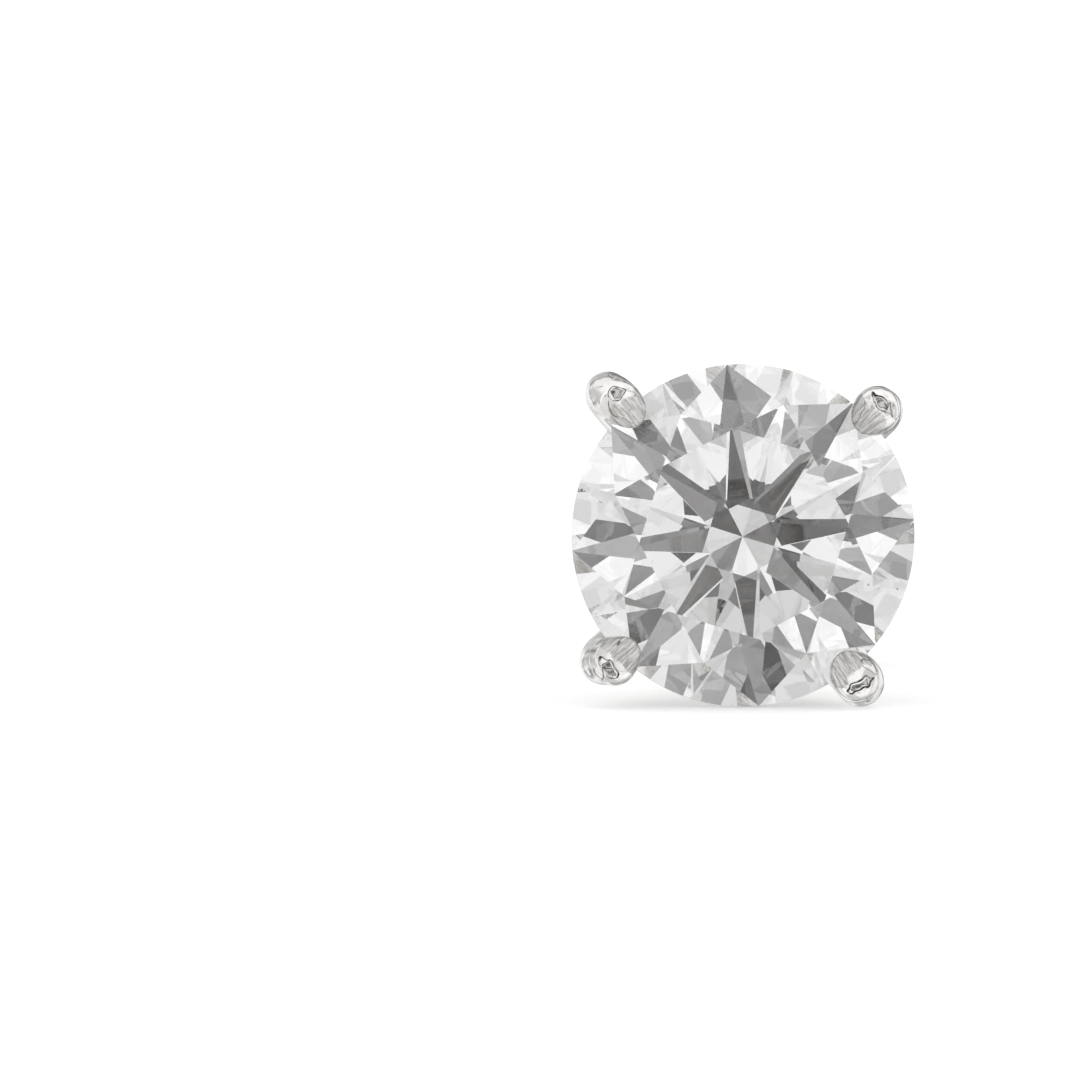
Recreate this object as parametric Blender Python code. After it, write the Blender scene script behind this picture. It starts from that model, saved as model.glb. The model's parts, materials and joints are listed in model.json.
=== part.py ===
"""A stud earring: a round brilliant stone in a four-claw wire setting, with a post and a friction back.

Each piece is modelled in the stud's own frame: the origin is at the middle of the stone's girdle, X is to
the right, Y is up across the face, and Z runs forward out of the table. The depth of a thing is its
distance behind the girdle. The empty stud_frame then lays the whole stud on its side on the floor, face
toward -Y, as it rests on the stone's edge and on the friction back.
"""
import math

import bmesh
import bpy
from mathutils import Euler, Matrix, Vector

MM = 0.001

# Stone: a round brilliant. Shares are of the stone's radius.
STONE_DIAMETER = 6.5 * MM
GIRDLE_THICKNESS = 0.195 * MM
TABLE_SHARE = 0.61
STAR_TIP_SHARE = 0.784
LOWER_HALF_SHARE = 0.788
CROWN_ANGLE = math.radians(35.4)
PAVILION_ANGLE = math.radians(40.5)
STONE_TURN = math.radians(5.25)
GIRDLE_SIDES = 96
FOLD = 8

# Setting: claws, rail, base and post
CLAW_WIDTH = 0.92 * MM
CLAW_RISE = 0.95 * MM
CLAW_BEND = 0.56 * MM
BEND_SHARE = 0.9
SEAT_CLEARANCE = 0.04 * MM
BASE_DIAMETER = 2.6 * MM
BASE_THICKNESS = 0.7 * MM
BASE_DEPTH = 3.75 * MM
BASE_EDGE = 0.08 * MM
RAIL_THICKNESS = 0.7 * MM
RAIL_SHARE = 0.5
POST_DIAMETER = 0.85 * MM
POST_LENGTH = 10.0 * MM

# The claws, one row each. The turn is in degrees round the stone, and the swing is how much further round
# the end is pushed. The bow is where the middle of the wire lies furthest out, and the tip is where it ends,
# both as shares of the stone's radius. The width is a share of the claw width. The bend is the radius of the
# wire's middle line where it turns up past the girdle, and it takes at most the bend share of a leg.
CLAWS = {
    "upper_right": {"turn": 42.3, "swing": 0.8, "bow": 1.076, "tip": 1.045, "width": 1.0},
    "upper_left": {"turn": 133.8, "swing": -1.0, "bow": 1.185, "tip": 1.02, "width": 1.02},
    "lower_left": {"turn": 221.4, "swing": 3.8, "bow": 1.11, "tip": 1.05, "width": 1.0},
    "lower_right": {"turn": 308.6, "swing": -0.4, "bow": 1.11, "tip": 1.04, "width": 1.0},
}

# Friction back
LOBE_GAP = 5.2 * MM
PLATE_WIDTH = 5.4 * MM
PLATE_HEIGHT = 4.4 * MM
PLATE_THICKNESS = 0.4 * MM
PLATE_CORNER = 1.3 * MM
STRIP_WIDTH = 2.8 * MM
STRIP_THICKNESS = 0.3 * MM
STRIP_SINK = 0.1 * MM
POST_CLEARANCE = 0.04 * MM
ROLL_FROM = math.radians(-110)
ROLL_TO = math.radians(205)

# Smoothness
DOME_END = math.radians(84)
SHARP_ANGLE = 40
WIRE_SIDES = 16
BEND_STEPS = 6
DOME_STEPS = 5
ROUND_STEPS = 8
ROLL_STEPS = 28
DISC_SIDES = 48
RAIL_SIDES = (48, 12)
EDGE_SEGMENTS = 2

# How near two points are to be one: in the unit stone as it is cut, in the cut stone, and in a curve
CUT_TOLERANCE = 1e-6
STONE_WELD = 1e-4
CURVE_WELD = 0.0005 * MM

# Worked out from the sizes above
STONE_RADIUS = STONE_DIAMETER / 2
POST_RADIUS = POST_DIAMETER / 2
BASE_BACK = BASE_DEPTH + BASE_THICKNESS
PLATE_DEPTH = BASE_BACK + LOBE_GAP


def clear_scene():
    for item in list(bpy.data.objects):
        bpy.data.objects.remove(item, do_unlink=True)


def new_collection(name):
    collection = bpy.data.collections.new(name)
    bpy.context.scene.collection.children.link(collection)
    return collection


def metal(name, colour, roughness):
    material = bpy.data.materials.new(name)
    material.use_nodes = True
    shader = material.node_tree.nodes["Principled BSDF"]
    shader.inputs["Base Color"].default_value = (*colour, 1.0)
    shader.inputs["Metallic"].default_value = 1.0
    shader.inputs["Roughness"].default_value = roughness
    return material


def clear_crystal(name):
    material = bpy.data.materials.new(name)
    material.use_nodes = True
    shader = material.node_tree.nodes["Principled BSDF"]
    shader.inputs["Base Color"].default_value = (1.0, 1.0, 1.0, 1.0)
    shader.inputs["Roughness"].default_value = 0.0
    shader.inputs["IOR"].default_value = 2.417
    shader.inputs["Transmission Weight"].default_value = 1.0
    return material


def add_object(name, mesh, collection, material=None):
    item = bpy.data.objects.new(name, mesh)
    collection.objects.link(item)
    if material:
        mesh.materials.append(material)
    return item


def add_cutter(name, mesh, collection):
    """A shape that only joins or cuts another one."""
    item = add_object(name, mesh, collection)
    item.hide_render = True
    item.display_type = "WIRE"
    return item


def boolean(target, tool, operation):
    modifier = target.modifiers.new(tool.name, "BOOLEAN")
    modifier.operation = operation
    modifier.solver = "EXACT"
    modifier.object = tool


def shade(mesh, degrees):
    mesh.shade_smooth()
    mesh.set_sharp_from_angle(angle=math.radians(degrees))


def facet(turn, slope, radius, height):
    """A facet plane of the unit stone: it falls away from the axis by slope, through (radius, height)."""
    side = math.copysign(1.0, slope)
    normal = Vector((math.cos(turn) * abs(slope), math.sin(turn) * abs(slope), side)).normalized()
    point = Vector((math.cos(turn) * radius, math.sin(turn) * radius, height))
    return normal, normal.dot(point)


def brilliant_facets():
    """The 57 facet planes of a round brilliant of radius 1, each a normal and an offset."""
    step = 2 * math.pi / FOLD
    edge = GIRDLE_THICKNESS / STONE_DIAMETER
    crown = math.tan(CROWN_ANGLE)
    pavilion = math.tan(PAVILION_ANGLE)
    table_height = edge + (1 - TABLE_SHARE) * crown
    star_height = edge + (1 - STAR_TIP_SHARE * math.cos(step / 2)) * crown
    table_flat = TABLE_SHARE * math.cos(step / 2)
    half_flat = math.cos(step / 4)
    star_slope = (table_height - star_height) / (STAR_TIP_SHARE - table_flat)
    upper_slope = (star_height - edge) / ((1 - STAR_TIP_SHARE) * half_flat)
    lower_tip = 1 - LOWER_HALF_SHARE
    lower_height = -edge - (1 - lower_tip * math.cos(step / 2)) * pavilion
    lower_slope = (-edge - lower_height) / ((1 - lower_tip) * half_flat)

    planes = [(Vector((0, 0, 1)), table_height)]
    for index in range(FOLD):
        turn = STONE_TURN + index * step
        planes.append(facet(turn, crown, 1, edge))
        planes.append(facet(turn + step / 2, star_slope, table_flat, table_height))
        planes.append(facet(turn, -pavilion, 1, -edge))
        for side in (-step / 4, step / 4):
            planes.append(facet(turn + side, upper_slope, half_flat, edge))
            planes.append(facet(turn + side, -lower_slope, half_flat, -edge))
    return planes


def brilliant_mesh(name, grow=0.0):
    """The stone, or with grow its seat: a cylinder cut by one plane for each facet."""
    margin = grow / STONE_RADIUS
    cut = bmesh.new()
    bmesh.ops.create_cone(
        cut, cap_ends=True, segments=GIRDLE_SIDES, radius1=1 + margin, radius2=1 + margin, depth=4,
        matrix=Matrix.Rotation(STONE_TURN, 4, "Z"),
    )
    for normal, offset in brilliant_facets():
        whole = cut.verts[:] + cut.edges[:] + cut.faces[:]
        result = bmesh.ops.bisect_plane(
            cut, geom=whole, dist=CUT_TOLERANCE, clear_outer=True,
            plane_co=normal * (offset + margin), plane_no=normal,
        )
        rim = [part for part in result["geom_cut"] if isinstance(part, bmesh.types.BMEdge)]
        bmesh.ops.contextual_create(cut, geom=rim)
    bmesh.ops.remove_doubles(cut, verts=cut.verts[:], dist=STONE_WELD)
    bmesh.ops.recalc_face_normals(cut, faces=cut.faces[:])
    bmesh.ops.scale(cut, vec=(STONE_RADIUS,) * 3, verts=cut.verts[:])
    mesh = bpy.data.meshes.new(name)
    cut.to_mesh(mesh)
    cut.free()
    return mesh


def rounded_path(points, bend, steps):
    """The points as a path whose one inner corner is an arc of radius bend, or less where a leg is short."""
    path = [points[0]]
    for before, corner, after in zip(points, points[1:], points[2:]):
        back = (before - corner).normalized()
        onward = (after - corner).normalized()
        half = back.angle(onward) / 2
        reach = bend / math.tan(half)
        reach = min(reach, (before - corner).length * BEND_SHARE, (after - corner).length * BEND_SHARE)
        middle = corner + (back + onward).normalized() * (reach / math.cos(half))
        first = corner + back * reach - middle
        last = (corner + onward * reach - middle).normalized()
        arc = [first.normalized().slerp(last, index / steps) for index in range(steps + 1)]
        path += [middle + spoke * first.length for spoke in arc]
    path.append(points[-1])
    return path


def curve_mesh(name, curve):
    """The welded mesh of a curve, which is then removed."""
    item = bpy.data.objects.new(name, curve)
    bpy.context.scene.collection.objects.link(item)
    evaluated = item.evaluated_get(bpy.context.evaluated_depsgraph_get())
    mesh = bpy.data.meshes.new_from_object(evaluated)
    bpy.data.objects.remove(item, do_unlink=True)
    bpy.data.curves.remove(curve)
    weld = bmesh.new()
    weld.from_mesh(mesh)
    bmesh.ops.remove_doubles(weld, verts=weld.verts[:], dist=CURVE_WELD)
    bmesh.ops.recalc_face_normals(weld, faces=weld.faces[:])
    weld.to_mesh(mesh)
    weld.free()
    mesh.name = name
    return mesh


def wire_mesh(name, path, thickness):
    """A round wire along the path, with a domed far end. The path ends at the middle of the dome."""
    radius = thickness / 2
    heading = (path[-1] - path[-2]).normalized()
    points = [(place, 1.0) for place in path]
    for index in range(1, DOME_STEPS + 1):
        angle = DOME_END * index / DOME_STEPS
        points.append((path[-1] + heading * radius * math.sin(angle), math.cos(angle)))

    curve = bpy.data.curves.new(name, "CURVE")
    curve.dimensions = "3D"
    curve.bevel_depth = radius
    curve.bevel_resolution = (WIRE_SIDES - 4) // 2
    curve.use_fill_caps = True
    spline = curve.splines.new("POLY")
    spline.points.add(len(points) - 1)
    for target, (place, share) in zip(spline.points, points):
        target.co = (*place, 1.0)
        target.radius = share
    return curve_mesh(name, curve)


def plate_mesh(name, outlines, thickness):
    """A flat piece with the closed outlines, the first around and the others holes, centred on Z = 0."""
    curve = bpy.data.curves.new(name, "CURVE")
    curve.dimensions = "2D"
    curve.fill_mode = "BOTH"
    curve.extrude = thickness / 2
    for outline in outlines:
        spline = curve.splines.new("POLY")
        spline.points.add(len(outline) - 1)
        spline.use_cyclic_u = True
        for target, (across, up) in zip(spline.points, outline):
            target.co = (across, up, 0.0, 1.0)
    return curve_mesh(name, curve)


def ring_points(radius, sides):
    turns = [2 * math.pi * index / sides for index in range(sides)]
    return [(radius * math.cos(turn), radius * math.sin(turn)) for turn in turns]


def rounded_rectangle(width, height, corner):
    points = []
    for quarter, (across, up) in enumerate(((1, 1), (-1, 1), (-1, -1), (1, -1))):
        for index in range(ROUND_STEPS + 1):
            turn = math.pi / 2 * (quarter + index / ROUND_STEPS)
            points.append((
                across * (width / 2 - corner) + corner * math.cos(turn),
                up * (height / 2 - corner) + corner * math.sin(turn),
            ))
    return points


def claw_foot():
    """Where the middle of each claw's wire starts in the base: radius and depth."""
    return BASE_DIAMETER / 2 - CLAW_WIDTH / 2, BASE_DEPTH + BASE_THICKNESS / 2


def around(degrees, radius, height):
    """The point at that turn and radius about the stud's axis."""
    turn = math.radians(degrees)
    return Vector((radius * math.cos(turn), radius * math.sin(turn), height))


def claw_path(row):
    """The middle of a claw's wire, from the base out to the girdle and on to its tip."""
    foot_radius, foot_depth = claw_foot()
    radius = row["width"] * CLAW_WIDTH / 2
    foot = around(row["turn"], foot_radius, -foot_depth)
    bow = around(row["turn"], row["bow"] * STONE_RADIUS, -GIRDLE_THICKNESS / 2)
    tip = around(row["turn"] + row["swing"], row["tip"] * STONE_RADIUS, CLAW_RISE - radius)
    return rounded_path([foot, bow, tip], CLAW_BEND, BEND_STEPS)


def rail_place():
    """Radius and depth of the rail, on the middle line from the base to the girdle."""
    foot_radius, foot_depth = claw_foot()
    bows = [row["bow"] * STONE_RADIUS for row in CLAWS.values()]
    bow_radius = sum(bows) / len(bows)
    radius = foot_radius + (bow_radius - foot_radius) * RAIL_SHARE
    depth = foot_depth + (GIRDLE_THICKNESS / 2 - foot_depth) * RAIL_SHARE
    return radius, depth


def base_mesh():
    disc = bmesh.new()
    radius = BASE_DIAMETER / 2
    middle = -(BASE_DEPTH + BASE_THICKNESS / 2)
    bmesh.ops.create_cone(
        disc, cap_ends=True, segments=DISC_SIDES, radius1=radius, radius2=radius, depth=BASE_THICKNESS,
        matrix=Matrix.Translation((0, 0, middle)),
    )
    rims = [edge for edge in disc.edges if abs(edge.verts[0].co.z - edge.verts[1].co.z) < BASE_THICKNESS / 2]
    bmesh.ops.bevel(disc, geom=rims, offset=BASE_EDGE, segments=EDGE_SEGMENTS, profile=0.5, affect="EDGES")
    mesh = bpy.data.meshes.new("prong_setting")
    disc.to_mesh(mesh)
    disc.free()
    return mesh


def rail_mesh():
    """The rail: a ring of round wire, turned about the stud's axis."""
    radius, depth = rail_place()
    around, across = RAIL_SIDES
    bpy.ops.mesh.primitive_torus_add(
        major_radius=radius, minor_radius=RAIL_THICKNESS / 2, major_segments=around, minor_segments=across,
        location=(0, 0, 0),
    )
    item = bpy.context.active_object
    mesh = item.data
    bpy.data.objects.remove(item, do_unlink=True)
    mesh.transform(Matrix.Translation((0, 0, -depth)))
    mesh.name = "rail"
    return mesh


def post_mesh():
    start = Vector((0, 0, -(BASE_DEPTH + BASE_THICKNESS / 2)))
    end = Vector((0, 0, -(BASE_BACK + POST_LENGTH - POST_RADIUS)))
    return wire_mesh("post", [start, end], POST_DIAMETER)


def roll_mesh(name, side):
    """One of the two loops that grip the post: a strip bent into a ring, open toward the plate."""
    near = POST_RADIUS + POST_CLEARANCE
    outer = (PLATE_WIDTH / 2 - near) / 2
    inner = outer - STRIP_THICKNESS
    turns = [ROLL_FROM + (ROLL_TO - ROLL_FROM) * index / ROLL_STEPS for index in range(ROLL_STEPS + 1)]
    outline = [(outer * math.cos(turn), outer * math.sin(turn)) for turn in turns]
    outline += [(inner * math.cos(turn), inner * math.sin(turn)) for turn in reversed(turns)]
    outline = [(side * (near + outer + across), back) for across, back in outline]
    mesh = plate_mesh(name, [outline], STRIP_WIDTH)
    middle = PLATE_DEPTH + PLATE_THICKNESS - STRIP_SINK + outer
    mesh.transform(Matrix.Rotation(math.radians(-90), 4, "X"))
    mesh.transform(Matrix.Translation((0, 0, -middle)))
    return mesh


def build_stone(parts):
    mesh = brilliant_mesh("stone")
    return add_object("stone", mesh, parts, clear_crystal("clear stone"))


def build_setting(parts, cutters):
    setting = add_object("prong_setting", base_mesh(), parts, metal("white metal", (0.86, 0.86, 0.85), 0.08))
    for name, row in CLAWS.items():
        mesh = wire_mesh(name + "_claw", claw_path(row), row["width"] * CLAW_WIDTH)
        boolean(setting, add_cutter(mesh.name, mesh, cutters), "UNION")
    boolean(setting, add_cutter("rail", rail_mesh(), cutters), "UNION")
    boolean(setting, add_cutter("post", post_mesh(), cutters), "UNION")
    seat = brilliant_mesh("stone_seat", grow=SEAT_CLEARANCE)
    boolean(setting, add_cutter("stone_seat", seat, cutters), "DIFFERENCE")
    return setting


def build_back(parts, cutters):
    hole = ring_points(POST_RADIUS + POST_CLEARANCE, WIRE_SIDES)
    outline = rounded_rectangle(PLATE_WIDTH, PLATE_HEIGHT, PLATE_CORNER)
    mesh = plate_mesh("friction_back", [outline, hole], PLATE_THICKNESS)
    mesh.transform(Matrix.Translation((0, 0, -(PLATE_DEPTH + PLATE_THICKNESS / 2))))
    back = add_object("friction_back", mesh, parts, metal("white metal back", (0.84, 0.84, 0.83), 0.12))
    for name, side in (("right_roll", 1), ("left_roll", -1)):
        boolean(back, add_cutter(name, roll_mesh(name, side), cutters), "UNION")
    return back


def resting_tilt():
    """How far the face tips up when the stone's edge and the plate's lower edge touch the floor."""
    drop = STONE_RADIUS - PLATE_HEIGHT / 2
    run = PLATE_DEPTH + PLATE_THICKNESS - GIRDLE_THICKNESS / 2
    return math.atan2(drop, run)


def lay_down(pieces):
    """Parent the pieces to one frame, tip it onto its side and set it on the floor about the origin."""
    frame = bpy.data.objects.new("stud_frame", None)
    bpy.context.scene.collection.objects.link(frame)
    turn = Euler((math.pi / 2 - resting_tilt(), 0, 0)).to_matrix()
    depsgraph = bpy.context.evaluated_depsgraph_get()
    corners = []
    for piece in pieces:
        corners += [turn @ vertex.co for vertex in piece.evaluated_get(depsgraph).data.vertices]
    low = Vector([min(corner[axis] for corner in corners) for axis in range(3)])
    high = Vector([max(corner[axis] for corner in corners) for axis in range(3)])
    frame.rotation_euler = turn.to_euler()
    frame.location = (-(low.x + high.x) / 2, -(low.y + high.y) / 2, -low.z)
    return frame


def build():
    clear_scene()
    parts = new_collection("stud_earring")
    cutters = new_collection("cutters")
    pieces = [build_stone(parts), build_setting(parts, cutters), build_back(parts, cutters)]
    bpy.context.view_layer.update()
    for piece in pieces[1:]:
        shade(piece.data, SHARP_ANGLE)
    frame = lay_down(pieces)
    for item in list(parts.objects) + list(cutters.objects):
        item.parent = frame


build()
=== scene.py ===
"""The looks of a stud earring that lies on its side: a round brilliant stone in a four-claw wire setting."""
import json
import math

import bmesh
import bpy
from mathutils import Matrix, Vector, noise

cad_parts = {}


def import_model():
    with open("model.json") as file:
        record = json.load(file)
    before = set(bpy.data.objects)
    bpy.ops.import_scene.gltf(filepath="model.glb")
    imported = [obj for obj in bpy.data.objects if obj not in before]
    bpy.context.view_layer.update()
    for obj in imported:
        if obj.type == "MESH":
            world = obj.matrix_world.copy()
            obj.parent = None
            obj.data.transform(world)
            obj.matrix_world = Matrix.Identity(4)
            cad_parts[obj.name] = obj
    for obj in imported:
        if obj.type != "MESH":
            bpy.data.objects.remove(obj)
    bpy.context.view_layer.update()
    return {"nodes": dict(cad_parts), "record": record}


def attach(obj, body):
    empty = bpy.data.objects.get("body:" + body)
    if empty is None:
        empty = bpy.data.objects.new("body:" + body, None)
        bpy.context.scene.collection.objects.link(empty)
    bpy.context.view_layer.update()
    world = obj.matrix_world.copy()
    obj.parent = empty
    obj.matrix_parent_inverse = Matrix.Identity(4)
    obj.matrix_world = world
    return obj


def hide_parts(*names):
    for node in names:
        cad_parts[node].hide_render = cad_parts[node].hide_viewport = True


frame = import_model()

MM = 0.001

# The photograph
PHOTO_SIDE = 1080
STONE_IN_PHOTO = (743.0, 535.4)
STONE_WIDTH_IN_PHOTO = 343.0
FACE_ABOVE_SIGHT = math.radians(2.3)
FACE_RIGHT_OF_SIGHT = math.radians(0.1)
CAMERA_DISTANCE = 250 * MM
SENSOR_WIDTH = 36.0

# The stud, in millimetres
STONE_RADIUS = 3.25
GIRDLE_THICKNESS = 0.195
STONE_CLEARANCE = 0.02
CLAW_WIDTH = 0.92
CLAW_RISE = 0.95
CLAW_BEND = 0.56
BASE_RADIUS = 1.3
BASE_THICKNESS = 0.7
BASE_EDGE = 0.12
RAIL_THICKNESS = 0.7
RAIL_SHARE = 0.5
POST_RADIUS = 0.425
POST_FILLET = 0.22
PLATE_THICKNESS = 0.4
PLATE_CORNER = 1.3
PLATE_EDGE = 0.09
STRIP_WIDTH = 2.8
STRIP_THICKNESS = 0.3
STRIP_EDGE = 0.07
STRIP_SINK = 0.1
POST_CLEARANCE = 0.04
CAST_STEP = 0.05
TIP_FROM = -0.3
TIP_FADE = 0.4
NEAR_TIP = 1.0
TOE_FROM = 0.05
TOE_FADE = 0.2
DENT_SIZE = 0.42
DENT_DEPTH = 0.02
CREASE_SIZE = 0.5
CREASE_DEPTH = 0.02
MARK_OUT = 0.14
MARK_DEPTH = 0.1
MARK_CUT = 0.86
MARK_EDGE = 0.02
MARK_LINE = 0.032
MARK_WARP = 0.07
MARK_GRAIN = 0.16
MARK_REACH = 0.14
FLAT_CUT = 0.94
ROLL_FROM = -110
ROLL_TO = 205

# The claws. The turn is in degrees round the stone, and the swing is how much further round the end is
# pushed. The bow is where the wire lies furthest out, and the tip is where it ends, both as shares of the
# stone's radius. The width is a share of the claw width, the taper what is left of it at the end, and the toe
# how far the end is drawn out over the stone, as a share of its radius.
# The mark is the leaf-shaped hollow that the setting tool left across the end: its turn from the outward
# direction, in degrees, and half of its length and width, in millimetres.
# The flats are where the setter filed the end, each a turn from the outward direction and a lean, in degrees,
# and its depth below the round end, in millimetres.
CLAWS = {
    "upper_right": {"turn": 42.3, "swing": 0.8, "bow": 1.076, "tip": 1.065, "width": 1.0, "taper": 0.98, "toe": 1.2,
                    "mark": (-2, 0.27, 0.11), "flats": ((178, 30, 0.12), (-60, 24, 0.045))},
    "upper_left": {"turn": 133.8, "swing": -1.0, "bow": 1.18, "tip": 1.06, "width": 0.97, "taper": 0.92, "toe": 1.5,
                   "mark": (-18, 0.2, 0.14), "flats": ((184, 27, 0.12), (75, 30, 0.09))},
    "lower_left": {"turn": 221.4, "swing": 3.4, "bow": 1.11, "tip": 1.06, "width": 1.0, "taper": 0.96, "toe": 1.3,
                   "mark": (-4, 0.27, 0.12), "flats": ((172, 28, 0.12), (-105, 32, 0.1))},
    "lower_right": {"turn": 308.6, "swing": -0.4, "bow": 1.11, "tip": 1.065, "width": 1.0, "taper": 1.0, "toe": 1.25,
                    "mark": (-11, 0.27, 0.11), "flats": ((183, 29, 0.12), (60, 24, 0.045))},
}


def linear(colour):
    """An sRGB hex colour as linear RGBA."""
    parts = [int(colour[place:place + 2], 16) / 255 for place in (1, 3, 5)]
    return (*[part / 12.92 if part <= 0.04045 else ((part + 0.055) / 1.055) ** 2.4 for part in parts], 1.0)


def add_node(tree, kind, settings=None, links=None):
    """Adds one node. Links give each input a value or another node's socket."""
    node = tree.nodes.new(kind)
    for name, value in (settings or {}).items():
        setattr(node, name, value)
    for socket, value in (links or {}).items():
        if isinstance(value, bpy.types.NodeSocket):
            tree.links.new(value, node.inputs[socket])
        else:
            node.inputs[socket].default_value = value
    return node


def mount(name):
    return next(row for row in frame["record"]["mounts"] if row["name"] == name)


def stud_frame():
    """Where the stud's own frame stands. It is in millimetres, with its origin at the middle of the girdle,
    X to the right, Y up the face and Z out of the table."""
    forward = -Vector(mount("base_face")["axis"]).normalized()
    right = Vector((1, 0, 0))
    turn = Matrix((right, forward.cross(right), forward)).transposed()
    points = [turn.transposed() @ vertex.co for vertex in frame["nodes"]["stone"].data.vertices]
    up = (min(point.y for point in points) + max(point.y for point in points)) / 2
    radius = max(point.x for point in points)
    rim = [point.z for point in points if math.hypot(point.x, point.y - up) > 0.999 * radius]
    origin = turn @ Vector((0, up, (min(rim) + max(rim)) / 2))
    return Matrix.Translation(origin) @ turn.to_4x4() @ Matrix.Scale(MM, 4)


STUD = stud_frame()
TO_STUD = STUD.inverted()


def depth_of(name):
    """How far behind the girdle a mount is, in millimetres."""
    return -(TO_STUD @ Vector(mount(name)["pos_m"])).z


def local_box(node):
    points = [TO_STUD @ vertex.co for vertex in frame["nodes"][node].data.vertices]
    low = Vector([min(point[axis] for point in points) for axis in range(3)])
    high = Vector([max(point[axis] for point in points) for axis in range(3)])
    return low, high


BASE_BACK = depth_of("base_face")
BASE_FRONT = BASE_BACK - BASE_THICKNESS
PLATE_FRONT = depth_of("plate_face")


# Meshes

def add_object(name, mesh):
    item = bpy.data.objects.new(name, mesh)
    bpy.context.scene.collection.objects.link(item)
    return item


def evaluated_mesh(item):
    depsgraph = bpy.context.evaluated_depsgraph_get()
    return bpy.data.meshes.new_from_object(item.evaluated_get(depsgraph), depsgraph=depsgraph)


def welded(mesh, distance):
    """The mesh with its doubles merged and its faces pointing out."""
    weld = bmesh.new()
    weld.from_mesh(mesh)
    bmesh.ops.remove_doubles(weld, verts=weld.verts[:], dist=distance)
    bmesh.ops.recalc_face_normals(weld, faces=weld.faces[:])
    weld.to_mesh(mesh)
    weld.free()
    return mesh


def modified(name, mesh, steps):
    """The mesh after the modifiers, each a kind and its settings."""
    item = add_object(name, mesh)
    for kind, settings in steps:
        modifier = item.modifiers.new(kind, kind)
        for setting, value in settings.items():
            setattr(modifier, setting, value)
    result = evaluated_mesh(item)
    bpy.data.objects.remove(item, do_unlink=True)
    result.name = name
    return result


def combined(name, mesh, tools):
    """The mesh after exact booleans with the tools, each an operation and a mesh."""
    items = []
    steps = []
    for operation, tool in tools:
        item = add_object(tool.name, tool)
        items.append(item)
        steps.append(("BOOLEAN", {"operation": operation, "solver": "EXACT", "object": item}))
    result = modified(name, mesh, steps)
    for item in items:
        bpy.data.objects.remove(item, do_unlink=True)
    return result


def arc(middle, radius, first, last, steps):
    """Points on an arc, as pairs, from one angle in degrees to another."""
    turns = [math.radians(first + (last - first) * index / steps) for index in range(steps + 1)]
    return [(middle[0] + radius * math.cos(turn), middle[1] + radius * math.sin(turn)) for turn in turns]


def turned_mesh(name, profile, sides):
    """A profile of radius and height, from axis to axis, turned about Z."""
    shape = bmesh.new()
    verts = [shape.verts.new((radius, 0, height)) for radius, height in profile]
    edges = [shape.edges.new(pair) for pair in zip(verts, verts[1:])]
    bmesh.ops.spin(shape, geom=verts + edges, cent=(0, 0, 0), axis=(0, 0, 1), angle=2 * math.pi, steps=sides)
    mesh = bpy.data.meshes.new(name)
    shape.to_mesh(mesh)
    shape.free()
    return welded(mesh, 0.001)


# Geometry Nodes

def geometry_tree(name, inputs):
    """A new tree with a named input for each size, and its input sockets."""
    tree = bpy.data.node_groups.new(name, "GeometryNodeTree")
    tree.interface.new_socket("Geometry", in_out="OUTPUT", socket_type="NodeSocketGeometry")
    tree.interface.new_socket("Geometry", in_out="INPUT", socket_type="NodeSocketGeometry")
    for label, kind in inputs.items():
        tree.interface.new_socket(label, in_out="INPUT", socket_type="NodeSocket" + kind)
    return tree, add_node(tree, "NodeGroupInput").outputs


def close_tree(tree, geometry, material):
    whole = add_node(tree, "GeometryNodeRealizeInstances", links={"Geometry": geometry})
    smooth = add_node(tree, "GeometryNodeSetShadeSmooth", links={"Geometry": whole.outputs[0]})
    finish = add_node(tree, "GeometryNodeSetMaterial", links={"Geometry": smooth.outputs[0], "Material": material})
    add_node(tree, "NodeGroupOutput", links={"Geometry": finish.outputs[0]})
    return tree


def grow(name, tree, sizes, source=None):
    """The plain mesh that the tree makes with these sizes."""
    item = add_object(name, source or bpy.data.meshes.new(name))
    modifier = item.modifiers.new(name, "NODES")
    modifier.node_group = tree
    for socket in tree.interface.items_tree:
        if socket.in_out == "INPUT" and socket.name in sizes:
            modifier[socket.identifier] = sizes[socket.name]
    mesh = evaluated_mesh(item)
    bpy.data.objects.remove(item, do_unlink=True)
    mesh.name = name
    return mesh


def path_mesh(name, paths):
    """Open paths as plain edges."""
    verts = []
    edges = []
    for path in paths:
        edges += [(len(verts) + index, len(verts) + index + 1) for index in range(len(path) - 1)]
        verts += path
    mesh = bpy.data.meshes.new(name)
    mesh.from_pydata(verts, edges, [])
    return mesh


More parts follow.
